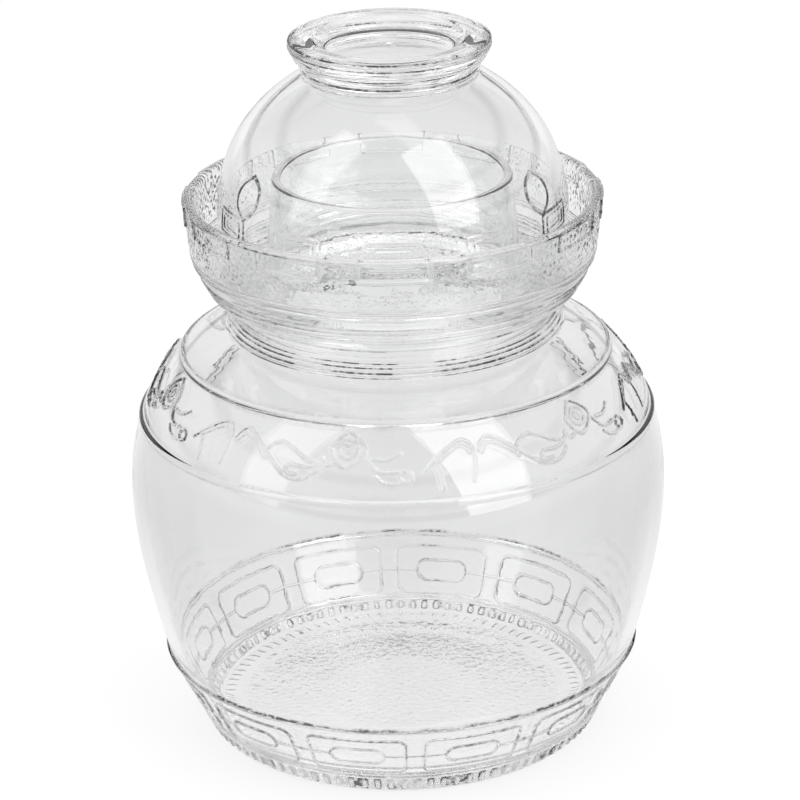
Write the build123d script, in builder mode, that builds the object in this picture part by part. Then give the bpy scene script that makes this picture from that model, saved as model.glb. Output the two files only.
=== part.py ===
import os
from math import atan2, cos, degrees, radians, sin

from build123d import *

# A glass pickle jar with a water seal: a blown jar body, a moat collar joined hot to
# its neck, and a domed lid that stands upside down in the moat. The jar's axis is +Z
# and it stands on the plane Z = 0.

# Mouth, neck and the two rings of water in the moat, from the inside outwards
mouth_radius = 43.0
neck_wall = 3.3
neck_flare = 3.8
inner_trough_width = 11.4
lid_wall = 3.6
lid_skirt_flare = 1.4
outer_trough_width = 8.3
moat_wall = 3.8

# Jar body
jar_wall = 4.0
foot_radius = 71.0
foot_edge_radius = 3.0
foot_ring_width = 9.0
base_recess = 2.5
base_recess_slope = 4.0
base_thickness = 6.5
base_inner_radius = 9.0
band_top_height = 31.6
belly_radius = 98.1
belly_swell = 11.1
belly_rise = 58.4
lower_rib_inset = 4.5
lower_rib_rise = 32.5
shoulder_rise = 33.5
upper_rib_radius_share = 0.49
upper_rib_height_share = 0.713
shoulder_bulge = 1.6
collarbone_bulge = 0.8

# The belly leaves the base band and meets the lower rib at these slopes, in radius
# over height, and the wall's outward normal leans up by these angles at the ribs
band_slope_share = 0.25
belly_top_slope_share = -0.36
lower_rib_lean = 22.0
upper_rib_lean = 52.0

# Ribs and rings on the jar body are part circles, centred on the wall or a little in it
rib_bead_radius = 1.9
rib_bead_sink = 0.6
base_line_radius = 0.5
foot_line_radius = 0.7
foot_line_height = 8.0

# Fret pattern on the base band
fret_count = 12
fret_turn = 18.0
fret_frame_angle = 25.0
fret_frame_height = 16.8
fret_frame_drop = 3.4
fret_loop_angle = 14.0
fret_loop_height = 7.4
fret_line_width = 1.3
fret_corner_radius = 2.6
relief_height = 0.5
relief_root = 0.8

# Teeth round the foot
tooth_count = 96
tooth_radius = 1.25
tooth_length = 4.2
tooth_gap_below = 1.6
tooth_sink = 0.8

# Moat collar
seam_run = 6.0
waist_run = 8.7
waist_rise = 10.0
neck_hole_inset = 6.5
neck_throat_rise = 6.0
neck_throat_inset = 8.0
collar_foot_inset = 1.0
neck_ring_count = 4
neck_ring_radius = 1.15
waist_fillet = 1.5
moat_heel_run = 3.2
moat_heel_rise = 2.9
moat_heel_fillet = 5.0
moat_floor_thickness = 4.1
moat_knee_inset = 1.9
moat_knee_rise = 10.5
moat_knee_fillet = 30.0
moat_depth = 32.2
moat_lip_fillet = 1.8
moat_floor_fillet = 3.2
moat_line_radius = 0.5
moat_line_shares = (0.1, 0.32, 0.54)
neck_rise = 39.4
neck_foot_fillet = 4.5
mouth_lip_fillet = 1.5

# Frames on the moat wall, under its rim
moat_frame_count = 12
moat_frame_angle = 19.5
moat_frame_height = 6.8
moat_frame_drop = 1.9
moat_frame_line_width = 1.1
moat_frame_corner_radius = 0.9

# Lid and its knob, which is a flared ring round a shallow dish
lid_skirt_height = 24.0
lid_rim_fillet = 1.2
dome_shoulder_inset = 7.3
dome_shoulder_rise = 29.5
dome_rise = 52.6
dome_foot_slope_share = 0.54
dome_shoulder_lean = 32.0
dome_foot_lean = 66.0
ceiling_rise = 3.2
knob_radius = 36.0
knob_foot_inset = 4.8
knob_foot_bead_radius = 0.9
knob_groove_depth = 0.6
knob_groove_rise = 2.4
knob_underside_rise = 6.9
knob_edge_height = 4.0
knob_crown_rise = 0.5
knob_edge_fillet = 1.7
knob_groove_fillet = 1.2
knob_rim_width = 9.0
dish_slope_run = 4.0
dish_depth = 4.0
dish_fillet = 1.5
nub_radius = 1.6
nub_height = 0.9

# Every prism that must pass right through the glass reaches this far to each side
overrun = 4.0

# Radii that follow from the sizes above
neck_foot_radius = mouth_radius + neck_flare
lid_rim_inner_radius = neck_foot_radius + inner_trough_width
lid_rim_radius = lid_rim_inner_radius + lid_wall
lid_radius = lid_rim_radius + lid_skirt_flare
moat_rim_radius = lid_radius + outer_trough_width + moat_wall
moat_knee_radius = moat_rim_radius - moat_knee_inset
moat_heel_radius = lid_rim_radius + moat_heel_run
waist_radius = neck_foot_radius + waist_run
seam_radius = waist_radius + seam_run
neck_hole_radius = waist_radius - neck_hole_inset
neck_throat_radius = waist_radius - neck_throat_inset
band_top_radius = belly_radius - belly_swell
lower_rib_radius = belly_radius - lower_rib_inset
upper_rib_radius = lower_rib_radius + (seam_radius - lower_rib_radius) * upper_rib_radius_share

# Heights that follow
floor_height = base_recess + base_thickness
belly_height = band_top_height + belly_rise
lower_rib_height = belly_height + lower_rib_rise
upper_rib_height = lower_rib_height + shoulder_rise * upper_rib_height_share
seam_height = lower_rib_height + shoulder_rise
waist_height = seam_height + waist_rise
moat_heel_height = waist_height + moat_heel_rise
moat_floor_height = moat_heel_height + moat_floor_thickness
moat_knee_height = moat_floor_height + moat_knee_rise
moat_rim_height = moat_floor_height + moat_depth
mouth_height = moat_floor_height + neck_rise


def spread(count, turn=0):
    """Angles in degrees of count places round the axis, the first one turned from the front."""
    return [turn - 90 + 360 * index / count for index in range(count)]


def wall_plane(angle, distance, height, lean=0):
    """A plane that faces outwards from the axis, leaning back by an angle."""
    turn = radians(angle)
    tilt = radians(lean)
    outwards = (cos(turn) * cos(tilt), sin(turn) * cos(tilt), -sin(tilt))
    return Plane(
        origin=(distance * cos(turn), distance * sin(turn), height),
        x_dir=(-sin(turn), cos(turn), 0),
        z_dir=outwards,
    )


def chord(radius, angle):
    """The straight width of an arc of a radius, for its angle in degrees."""
    return 2 * radius * sin(radians(angle / 2))


def inwards(point, lean, distance):
    """The point moved into the glass, where the outward normal leans up by lean."""
    return (point[0] - distance * cos(radians(lean)), point[1] - distance * sin(radians(lean)))


def between(start, end, share):
    """The point at a share of the way from start to end."""
    return (start[0] + (end[0] - start[0]) * share, start[1] + (end[1] - start[1]) * share)


# Jar body: the tapered band at its base, with the fret pattern and the foot's teeth

band_slope = (band_top_radius - foot_radius) / band_top_height
band_lean = degrees(atan2(band_top_radius - foot_radius, band_top_height))
fret_height = band_top_height - fret_frame_drop - fret_frame_height / 2
fret_radius = foot_radius + band_slope * fret_height
fret_frame_width = chord(fret_radius, fret_frame_angle)
fret_loop_width = chord(fret_radius, fret_loop_angle)
fret_pitch_width = chord(fret_radius, 360 / fret_count)
fret_tie_length = (fret_pitch_width - fret_loop_width) / 2 + fret_line_width
fret_tie_place = (fret_pitch_width + fret_loop_width) / 4

with BuildPart() as fret_prisms:
    for angle in spread(fret_count, fret_turn):
        with BuildSketch(wall_plane(angle, fret_radius, fret_height)):
            RectangleRounded(fret_frame_width, fret_frame_height, fret_corner_radius)
            RectangleRounded(
                fret_frame_width - 2 * fret_line_width,
                fret_frame_height - 2 * fret_line_width,
                fret_corner_radius / 2,
                mode=Mode.SUBTRACT,
            )
            SlotOverall(fret_loop_width, fret_loop_height)
            SlotOverall(
                fret_loop_width - 2 * fret_line_width,
                fret_loop_height - 2 * fret_line_width,
                mode=Mode.SUBTRACT,
            )
            with Locations((fret_tie_place, 0), (-fret_tie_place, 0)):
                Rectangle(fret_tie_length, fret_line_width)
        extrude(amount=2 * overrun, both=True)

with BuildPart() as fret_relief:
    with BuildSketch(Plane.XZ):
        with BuildLine():
            Polyline(
                (foot_radius - relief_root, 0),
                (foot_radius + relief_height, 0),
                (band_top_radius + relief_height, band_top_height),
                (band_top_radius - relief_root, band_top_height),
                close=True,
            )
        make_face()
    revolve(axis=Axis.Z)
    add(fret_prisms.part, mode=Mode.INTERSECT)

tooth_height = tooth_gap_below + tooth_length / 2
tooth_distance = foot_radius + band_slope * tooth_height - tooth_sink

with BuildPart() as foot_teeth:
    for angle in spread(tooth_count):
        tooth_plane = wall_plane(angle, tooth_distance, tooth_height, band_lean)
        with Locations(tooth_plane.location):
            Cylinder(tooth_radius, tooth_length, rotation=(90, 0, 0))

band_top = (band_top_radius, band_top_height)
belly_side = (belly_radius, belly_height)
lower_rib = (lower_rib_radius, lower_rib_height)
upper_rib = (upper_rib_radius, upper_rib_height)
seam_edge = (seam_radius, seam_height)
neck_hole_top = (neck_hole_radius, seam_height)
neck_hole_bottom = (neck_hole_radius, seam_height - jar_wall / 2)
inner_upper_rib = inwards(upper_rib, upper_rib_lean, jar_wall)
inner_lower_rib = inwards(lower_rib, lower_rib_lean, jar_wall)
inner_belly = (belly_radius - jar_wall, belly_height)
inner_band_top = (band_top_radius - jar_wall, band_top_height)
inner_floor_edge = (foot_radius + band_slope * floor_height - jar_wall, floor_height)
belly_slopes = [(band_slope_share, 1), (belly_top_slope_share, 1)]

with BuildPart() as jar_body:
    with BuildSketch(Plane.XZ):
        with BuildLine():
            FilletPolyline(
                (0, base_recess),
                (foot_radius - foot_ring_width - base_recess_slope, base_recess),
                (foot_radius - foot_ring_width, 0),
                (foot_radius, 0),
                band_top,
                radius=[base_recess, foot_edge_radius / 2, foot_edge_radius],
            )
            Spline(band_top, belly_side, lower_rib, tangents=belly_slopes)
            SagittaArc(lower_rib, upper_rib, -shoulder_bulge)
            SagittaArc(upper_rib, seam_edge, -collarbone_bulge)
            Polyline(seam_edge, neck_hole_top, neck_hole_bottom)
            SagittaArc(inner_upper_rib, neck_hole_bottom, -collarbone_bulge)
            SagittaArc(inner_lower_rib, inner_upper_rib, -shoulder_bulge)
            Spline(inner_band_top, inner_belly, inner_lower_rib, tangents=belly_slopes)
            FilletPolyline(
                inner_band_top,
                inner_floor_edge,
                (0, floor_height),
                radius=base_inner_radius,
            )
            Line((0, floor_height), (0, base_recess))
        make_face()
        with Locations(
            inwards(lower_rib, lower_rib_lean, rib_bead_sink),
            inwards(upper_rib, upper_rib_lean, rib_bead_sink),
        ):
            Circle(rib_bead_radius)
        with Locations(band_top):
            Circle(base_line_radius)
        with Locations((foot_radius + band_slope * foot_line_height, foot_line_height)):
            Circle(foot_line_radius)
    revolve(axis=Axis.Z)
    add(fret_relief.part)
    add(foot_teeth.part)
jar_body.part.label = "jar_body"
export_step(jar_body.part, "parts/jar_body.step")


# Moat collar: neck tube, ringed waist and water moat, standing on the body's seam

moat_frame_middle = moat_rim_height - moat_frame_drop - moat_frame_height / 2
moat_wall_slope = (moat_rim_radius - moat_knee_radius) / (moat_rim_height - moat_knee_height)
moat_frame_radius = moat_rim_radius - moat_wall_slope * (moat_rim_height - moat_frame_middle)
moat_frame_width = chord(moat_frame_radius, moat_frame_angle)

with BuildPart() as moat_frame_prisms:
    for angle in spread(moat_frame_count):
        with BuildSketch(wall_plane(angle, moat_frame_radius, moat_frame_middle)):
            RectangleRounded(moat_frame_width, moat_frame_height, moat_frame_corner_radius)
            RectangleRounded(
                moat_frame_width - 2 * moat_frame_line_width,
                moat_frame_height - 2 * moat_frame_line_width,
                moat_frame_corner_radius / 2,
                mode=Mode.SUBTRACT,
            )
        extrude(amount=overrun / 2, both=True)

with BuildPart() as moat_frame_relief:
    with BuildSketch(Plane.XZ):
        with BuildLine():
            Polyline(
                (moat_knee_radius - relief_root, moat_knee_height),
                (moat_knee_radius + relief_height, moat_knee_height),
                (moat_rim_radius + relief_height, moat_rim_height),
                (moat_rim_radius - relief_root, moat_rim_height),
                close=True,
            )
        make_face()
    revolve(axis=Axis.Z)
    add(moat_frame_prisms.part, mode=Mode.INTERSECT)

collar_foot = (seam_radius - collar_foot_inset, seam_height)
waist = (waist_radius, waist_height)
moat_heel = (moat_heel_radius, moat_heel_height)
moat_knee = (moat_knee_radius, moat_knee_height)

with BuildPart() as moat_collar:
    with BuildSketch(Plane.XZ):
        with BuildLine():
            FilletPolyline(
                collar_foot,
                waist,
                moat_heel,
                moat_knee,
                (moat_rim_radius, moat_rim_height),
                (moat_rim_radius - moat_wall, moat_rim_height),
                (moat_knee_radius - moat_wall, moat_knee_height),
                (moat_heel_radius - moat_wall / 2, moat_floor_height),
                (neck_foot_radius, moat_floor_height),
                (mouth_radius, mouth_height),
                (mouth_radius - neck_wall, mouth_height),
                (neck_foot_radius - neck_wall, moat_floor_height),
                (neck_throat_radius, seam_height + neck_throat_rise),
                neck_hole_top,
                radius=[
                    0,
                    waist_fillet,
                    moat_heel_fillet,
                    moat_knee_fillet,
                    moat_lip_fillet,
                    moat_lip_fillet,
                    moat_knee_fillet / 4,
                    moat_floor_fillet,
                    neck_foot_fillet,
                    mouth_lip_fillet,
                    mouth_lip_fillet,
                    neck_foot_fillet,
                    neck_foot_fillet,
                    0,
                ],
                close=True,
            )
        make_face()
        for ring in range(neck_ring_count):
            with Locations(between(collar_foot, waist, (ring + 0.5) / neck_ring_count)):
                Circle(neck_ring_radius)
        for share in moat_line_shares:
            with Locations(between(moat_heel, moat_knee, share)):
                Circle(moat_line_radius)
    revolve(axis=Axis.Z)
    add(moat_frame_relief.part)
moat_collar.part.label = "moat_collar"
export_step(moat_collar.part, "parts/moat_collar.step")


# Lid: a dome whose rim stands on the moat floor, with the knob on top

skirt_top_height = moat_floor_height + lid_skirt_height
knob_foot_radius = knob_radius - knob_foot_inset
knob_foot_height = skirt_top_height + dome_rise
knob_groove_radius = knob_foot_radius - knob_groove_depth
knob_groove_height = knob_foot_height + knob_groove_rise
knob_underside_height = knob_groove_height + knob_underside_rise
knob_edge_top_height = knob_underside_height + knob_edge_height
knob_crown_height = knob_edge_top_height + knob_crown_rise
dish_radius = knob_radius - knob_rim_width
dish_floor_height = knob_crown_height - dish_depth
skirt_top = (lid_radius, skirt_top_height)
inner_skirt_top = (lid_radius - lid_wall, skirt_top_height)
dome_shoulder = (lid_radius - dome_shoulder_inset, skirt_top_height + dome_shoulder_rise)
knob_foot = (knob_foot_radius, knob_foot_height)
inner_knob_foot = inwards(knob_foot, dome_foot_lean, lid_wall)
ceiling_top = (0, inner_knob_foot[1] + ceiling_rise)
dome_slopes = [(0, 1), (-1, dome_foot_slope_share)]

with BuildPart() as lid:
    with BuildSketch(Plane.XZ):
        with BuildLine():
            FilletPolyline(
                inner_skirt_top,
                (lid_rim_inner_radius, moat_floor_height),
                (lid_rim_radius, moat_floor_height),
                skirt_top,
                radius=lid_rim_fillet,
            )
            Spline(skirt_top, dome_shoulder, knob_foot, tangents=dome_slopes)
            FilletPolyline(
                knob_foot,
                (knob_groove_radius, knob_groove_height),
                (knob_radius, knob_underside_height),
                (knob_radius, knob_edge_top_height),
                (dish_radius, knob_crown_height),
                (dish_radius - dish_slope_run, dish_floor_height),
                (0, dish_floor_height),
                radius=[
                    knob_groove_fillet,
                    knob_edge_fillet,
                    knob_edge_fillet,
                    dish_fillet,
                    dish_fillet,
                ],
            )
            Line((0, dish_floor_height), ceiling_top)
            Spline(ceiling_top, inner_knob_foot, tangents=[(1, 0), (1, -dome_foot_slope_share)])
            Spline(
                inner_skirt_top,
                inwards(dome_shoulder, dome_shoulder_lean, lid_wall),
                inner_knob_foot,
                tangents=dome_slopes,
            )
        make_face()
        with Locations(knob_foot):
            Circle(knob_foot_bead_radius)
    revolve(axis=Axis.Z)
    with Locations((0, 0, dish_floor_height)):
        Cylinder(nub_radius, nub_height, align=(Align.CENTER, Align.CENTER, Align.MIN))
lid.part.label = "lid"
export_step(lid.part, "parts/lid.step")

print(f"height {knob_crown_height:.1f}, belly {2 * belly_radius:.1f}, moat {2 * moat_rim_radius:.1f}")
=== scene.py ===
from math import acos, cos, pi, radians, sin, tan

import bpy
import numpy as np
from mathutils import Matrix, Vector


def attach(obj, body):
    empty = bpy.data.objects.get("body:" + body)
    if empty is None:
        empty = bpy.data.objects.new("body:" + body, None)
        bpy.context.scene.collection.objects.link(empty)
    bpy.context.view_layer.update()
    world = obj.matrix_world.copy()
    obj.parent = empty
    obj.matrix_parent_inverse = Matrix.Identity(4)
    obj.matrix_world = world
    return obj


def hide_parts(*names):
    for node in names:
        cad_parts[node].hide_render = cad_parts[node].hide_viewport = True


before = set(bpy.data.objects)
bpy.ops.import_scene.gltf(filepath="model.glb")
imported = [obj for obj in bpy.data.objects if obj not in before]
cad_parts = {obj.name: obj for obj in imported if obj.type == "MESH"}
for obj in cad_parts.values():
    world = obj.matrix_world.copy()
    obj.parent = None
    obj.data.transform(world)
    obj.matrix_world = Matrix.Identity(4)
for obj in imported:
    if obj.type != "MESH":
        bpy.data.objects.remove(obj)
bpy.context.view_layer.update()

# Lengths of the glass are in millimetres and angles in degrees, turned from the front
# (-Y) towards +X. A mesh is scaled to metres when it is made. Materials, floor, lamps
# and camera are in metres.
MM = 0.001

# Profile lines are made of points STEP apart. Before that, each half of a spline has
# CURVE_POINTS and a bow has BOW_POINTS.
STEP = 0.05
CURVE_POINTS, BOW_POINTS = 400, 200
# A line that ends at the axis stops this far from it, and triangles close the gap
POLE = 1.0

# Coarse columns round the axis. FINE is how many parts a row or column is cut into
# where the relief needs it.
COLUMNS = 360
FINE = 3
turns = np.arange(COLUMNS * FINE) * 360.0 / (COLUMNS * FINE)
around = np.radians(turns)
# 0 at the front and back, 1 at the sides
aside = abs(np.sin(around))

SEAM_HEIGHT = 156.0
MOAT_FLOOR = 173.0
LID_GAP = 0.06


# Profile lines


def rounded(points, radii):
    """A run of straight lines through the points, each inner corner rounded by its radius."""
    points = [np.array(p, float) for p in points]
    line = [points[0]]
    for before, corner, after, radius in zip(points, points[1:], points[2:], radii):
        u = (before - corner) / np.linalg.norm(before - corner)
        v = (after - corner) / np.linalg.norm(after - corner)
        half = acos(float(np.clip(u @ v, -1, 1))) / 2
        centre = corner + (u + v) / np.linalg.norm(u + v) * radius / sin(half)
        start, end = corner + u * radius / tan(half), corner + v * radius / tan(half)
        a, b = start - centre, end - centre
        sweep = acos(float(np.clip(a @ b / radius**2, -1, 1)))
        for t in np.linspace(0, 1, max(4, int(sweep * radius / STEP))):
            line.append(centre + (a * sin((1 - t) * sweep) + b * sin(t * sweep)) / sin(sweep))
    line.append(points[-1])
    return np.array(line)


def spline(points, start, end):
    """A smooth curve through three points that leaves and arrives along two slopes."""
    p = np.array(points, float)
    h = np.hypot(*np.diff(p, axis=0).T)
    m0, m2 = (np.array(s, float) / np.hypot(*s) for s in (start, end))
    pull = 3 * ((p[1] - p[0]) / h[0] ** 2 + (p[2] - p[1]) / h[1] ** 2)
    m1 = (pull - m0 / h[0] - m2 / h[1]) / (2 / h[0] + 2 / h[1])
    t = np.linspace(0, 1, CURVE_POINTS)[:, None]
    line = []
    for a, b, ma, mb, k in ((p[0], p[1], m0, m1, h[0]), (p[1], p[2], m1, m2, h[1])):
        line.append(
            (2 * t**3 - 3 * t**2 + 1) * a
            + (t**3 - 2 * t**2 + t) * k * ma
            + (3 * t**2 - 2 * t**3) * b
            + (t**3 - t**2) * k * mb
        )
    return np.concatenate(line)


def bow(start, end, sagitta):
    """An arc from start to end that swells to the right of its way by the sagitta."""
    a, b = np.array(start, float), np.array(end, float)
    way = b - a
    side = np.array((way[1], -way[0])) / np.linalg.norm(way)
    t = np.linspace(0, 1, BOW_POINTS)[:, None]
    return a + way * t + side * sagitta * 4 * t * (1 - t)


def back(slope):
    """The slope of the same line when it is followed the other way."""
    return (-slope[0], -slope[1])


def inwards(point, lean, distance):
    """The point moved into the glass, along a normal that leans up by an angle."""
    return (point[0] - distance * cos(radians(lean)), point[1] - distance * sin(radians(lean)))


def along(line):
    """The length of the line up to each of its points."""
    return np.concatenate(([0], np.cumsum(np.hypot(*np.diff(line, axis=0).T))))


def even(line):
    """The line again, with its points evenly spaced."""
    line = line[np.concatenate(([True], np.hypot(*np.diff(line, axis=0).T) > 1e-6))]
    s = along(line)
    t = np.linspace(0, s[-1], max(8, int(s[-1] / STEP)))
    return np.stack([np.interp(t, s, line[:, k]) for k in (0, 1)], -1)


def across(line):
    """The outward normal at each point of an evenly spaced line."""
    way = np.gradient(line, axis=0)
    way /= np.hypot(way[:, 0], way[:, 1])[:, None]
    return np.stack([way[:, 1], -way[:, 0]], -1)


def ringed(line, rings, low=0.0):
    """The line with round rings standing out of its outer side, where that leans out by
    more than low. Each ring is (height, half_width, rise) and, where it is fuller and
    sharper at its edges, a power less than the usual 1.5."""
    for height, half_width, rise, *fuller in rings:
        power = fuller[0] if fuller else 1.5
        wall = np.where(across(line)[:, 0] > low)[0]
        middle = wall[np.argmin(abs(line[wall, 1] - height))]
        s = np.arange(len(line)) * np.hypot(*(line[1] - line[0]))
        d = np.clip(abs(s - s[middle]) / half_width, 0, 1)
        line = line + across(line) * (rise * (1 - d**2) ** power)[:, None]
    return line


def reach_next(line, following):
    """A section of a line with the first point of the next one."""
    return np.concatenate([line, following[:1]])


class Wall:
    """The closed outline of one piece of glass, as rows of a grid round the axis.

    Its sections are (name, line, greatest row height, fused). A fused section meets the
    jar's other piece and takes the seam's material. For each grid point, relief and
    broad are how far the wall stands out, where only relief cuts the mesh finely, and
    the painted shade grid is how dark the painted shade lines are there. These lines
    stand in for the dark edges that clear glass shows."""

    # Points over which the line's direction is averaged, and the most that it may turn
    # from one row to the next
    SMOOTHING = 9
    ROW_BEND = 20
    # Painted shade in bends inwards, by how sharply they bend in radians per millimetre:
    # where it starts, how much more makes it full, and the most it can be
    GROOVE_START, GROOVE_SPAN, GROOVE_MOST = 1.2, 0.8, 1.4
    # Less relief than this isn't cut finely, and these sections keep their columns one
    # wide even where they are smooth
    LEAST_RELIEF = 0.008
    UNPAIRED = ("floor", "moat")

    def __init__(self, sections):
        self.line, self.side, self.painted_shade = [], [], []
        self.tag, self.fused, self.single = [], [], []
        for name, line, step, fused in sections:
            line = even(line)
            way = np.gradient(line, axis=0)
            bend = np.unwrap(np.arctan2(way[:, 1], way[:, 0]))
            soft = np.ones(self.SMOOTHING) / self.SMOOTHING
            bend = np.convolve(np.pad(bend, self.SMOOTHING // 2, mode="edge"), soft, "valid")
            ds = np.hypot(*(line[1] - line[0]))
            curl = np.gradient(bend) / ds
            # Rows lie closer together where the line bends
            need = np.maximum(1 / step, abs(curl) / radians(self.ROW_BEND))
            share = np.concatenate(([0], np.cumsum((need[1:] + need[:-1]) / 2 * ds)))
            rows = max(1, int(np.ceil(share[-1])))
            at = np.linspace(0, share[-1], rows * FINE + 1)
            place = np.interp(at, share, np.arange(len(line)))
            # Painted shade where the line bends inwards, as if in a crease
            bend_shade = np.clip((-curl - self.GROOVE_START) / self.GROOVE_SPAN, 0, self.GROOVE_MOST)
            values = np.column_stack([line, across(line), bend_shade])
            values = [np.interp(place, np.arange(len(line)), column) for column in values.T]
            values = np.stack(values, -1)[1 if self.line else 0 :]
            self.line.append(values[:, :2])
            self.side.append(values[:, 2:4])
            self.painted_shade.append(values[:, 4])
            self.tag += [name] * len(values)
            self.fused += [fused] * rows
            self.single += [name in self.UNPAIRED] * rows
        self.line = np.concatenate(self.line)
        self.side = np.concatenate(self.side)
        self.side /= np.hypot(self.side[:, 0], self.side[:, 1])[:, None]
        self.tag = np.array(self.tag)
        self.relief = np.zeros((len(self.line), len(turns)))
        self.painted_shade = np.concatenate(self.painted_shade)[:, None] + 0 * self.relief
        self.broad = np.zeros_like(self.relief)

    def rows(self, name, low=-1e9, high=1e9):
        """The rows of a section, from one height to another."""
        z = self.line[:, 1]
        return np.where((self.tag == name) & (z >= low) & (z <= high))[0]

    def heights(self, rows):
        return self.line[rows, 1][:, None]

    def fade(self, shares):
        """Keeps a share of the painted shade in each (section, low, high, share)."""
        for name, low, high, share in shares:
            self.painted_shade[self.rows(name, low, high)] *= share

    def paint_shade(self, rows, depth):
        """Makes the painted shade at least this dark."""
        self.painted_shade[rows] = np.maximum(self.painted_shade[rows], depth)

    def normals(self, points, closed):
        """Each grid point's normal, taken from the glass side at the seam's edges."""
        up = np.gradient(points, axis=0)
        if closed:
            up[0] = up[-1] = points[1] - points[-2]
        seam = np.where(np.array(self.fused))[0]
        if len(seam):
            first, last = seam[0] * FINE, (seam[-1] + 1) * FINE
            up[first] = points[first] - points[first - 1]
            after = 1 if closed else last + 1
            up[last] = points[after] - points[last]
            if closed:
                up[0] = up[last]
        way = np.roll(points, -1, axis=1) - np.roll(points, 1, axis=1)
        normal = np.cross(way, up)
        return normal / np.linalg.norm(normal, axis=2, keepdims=True)

    def mesh(self, name, materials, closed=False):
        """A watertight mesh, divided finely only where its relief needs that. Its cells
        are of three sizes: FINE parts, one column, and two columns where it is smooth."""
        rows, columns = self.relief.shape
        bands = (rows - 1) // FINE
        lift = self.relief + self.broad
        r = self.line[:, :1] + self.side[:, :1] * lift
        z = self.line[:, 1:] + self.side[:, 1:] * lift
        phi = around[None, :]
        points = np.stack([r * np.sin(phi), -r * np.cos(phi), z + 0 * phi], -1) * MM

        # The cells that relief cuts finely, and the pairs of smooth cells that are one
        busy = np.zeros((bands, COLUMNS), bool)
        raised = abs(self.relief) > self.LEAST_RELIEF
        for i in range(FINE + 1):
            for j in range(FINE + 1):
                part = raised[i : i + bands * FINE : FINE]
                busy |= np.roll(part, -j, axis=1)[:, ::FINE]
        wide = ~(busy[:, ::2] | busy[:, 1::2] | np.array(self.single)[:, None])
        used = np.zeros((rows, columns), bool)
        used[::FINE, :: 2 * FINE] = True
        spots = np.argwhere(busy)
        plain = np.argwhere(~busy & ~np.repeat(wide, 2, axis=1))
        for cells, corners in ((plain, (0, FINE)), (spots, range(FINE + 1))):
            for i in corners:
                for j in corners:
                    used[cells[:, 0] * FINE + i, (cells[:, 1] * FINE + j) % columns] = True

        live = used.copy()
        if closed:
            live[0] |= used[-1]
            live[-1] = False
        number = np.full((rows, columns), -1)
        number[live] = np.arange(live.sum())
        if closed:
            number[-1] = number[0]
        co = list(points[live])
        painted_shades = list(self.painted_shade[live])
        smooth = list(self.normals(points, closed)[live])

        faces, slots = [], []
        for a, b in spots:
            for i in range(FINE):
                for j in range(FINE):
                    y, x = a * FINE + i, b * FINE + j
                    w = (x + 1) % columns
                    faces.append((number[y, x], number[y, w], number[y + 1, w], number[y + 1, x]))
                    slots.append(int(self.fused[a]))
        cells = [(a, b * FINE, FINE) for a, b in plain]
        cells += [(a, b * 2 * FINE, 2 * FINE) for a, b in np.argwhere(wide)]
        for a, x, w in cells:
            y = a * FINE
            edge = [(y, x + k) for k in range(w)] + [(y + k, x + w) for k in range(FINE)]
            edge += [(y + FINE, x + w - k) for k in range(w)]
            edge += [(y + FINE - k, x) for k in range(FINE)]
            ring = [number[i, j % columns] for i, j in edge]
            faces.append([n for n in ring if n >= 0])
            slots.append(int(self.fused[a]))
        if not closed:
            # The line starts and ends at the axis, where fans of triangles close it
            for row, flip in ((0, True), (rows - 1, False)):
                pole = len(co)
                co.append(np.array([0, 0, self.line[row, 1] * MM]))
                painted_shades.append(0.0)
                smooth.append(np.array([0, 0, -1.0 if flip else 1.0]))
                ring = [n for n in number[row] if n >= 0]
                for n, m in zip(ring, ring[1:] + ring[:1]):
                    faces.append((pole, m, n) if flip else (pole, n, m))
                    slots.append(0)

        mesh = bpy.data.meshes.new(name)
        mesh.from_pydata([tuple(p) for p in co], [], [tuple(int(n) for n in f) for f in faces])
        for material in materials:
            mesh.materials.append(material)
        mesh.polygons.foreach_set("material_index", slots)
        mesh.polygons.foreach_set("use_smooth", [s == 0 for s in slots])
        mesh.update()
        mesh.normals_split_custom_set_from_vertices([tuple(n) for n in smooth])
        # The painted shade goes with the mesh as an attribute that the glass material reads
        mesh.attributes.new("painted_shade", "FLOAT", "POINT").data.foreach_set("value", painted_shades)
        piece = bpy.data.objects.new(name, mesh)
        bpy.context.scene.collection.objects.link(piece)
        print(name, "triangles", sum(len(f) - 2 for f in faces))
        return piece


# Relief, in millimetres out of the wall


def ridge(distance, half_width):
    """A rounded ridge where the distance is 0, gone at half_width."""
    return 0.5 + 0.5 * np.cos(pi * np.clip(abs(distance) / half_width, 0, 1))


def frame_line(u, v, width, height, radius):
    """Distance from the outline of a rounded rectangle, less than 0 inside."""
    x = abs(u) - (width / 2 - radius)
    y = abs(v) - (height / 2 - radius)
    return np.hypot(np.maximum(x, 0), np.maximum(y, 0)) + np.minimum(np.maximum(x, y), 0) - radius


def repeat(pitch, middle=0.0):
    """Each column's angle from the middle of its repeat."""
    return (turns - middle + pitch / 2) % pitch - pitch / 2


def round_wall(pitch, radius, middle=0.0):
    """Each column's distance round the wall from the middle of its repeat."""
    return np.radians(repeat(pitch, middle))[None, :] * radius


def smooth_line(points):
    """Points along a smooth curve through the given (angle, height) points."""
    step, mm_per_degree = 0.6, 1.45
    p = np.array(points, float)
    p = np.concatenate(([2 * p[0] - p[1]], p, [2 * p[-1] - p[-2]]))
    out = []
    for a, b, c, d in zip(p, p[1:], p[2:], p[3:]):
        n = max(2, int(np.hypot(*((c - b) * (mm_per_degree, 1))) / step) + 1)
        t = np.linspace(0, 1, n)[:, None]
        out.append(
            b + t * (c - a) / 2 + t**2 * (a - 2.5 * b + 2 * c - d / 2)
            + t**3 * (-a + 3 * b - 3 * c + d) / 2
        )
    return np.concatenate(out)


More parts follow.
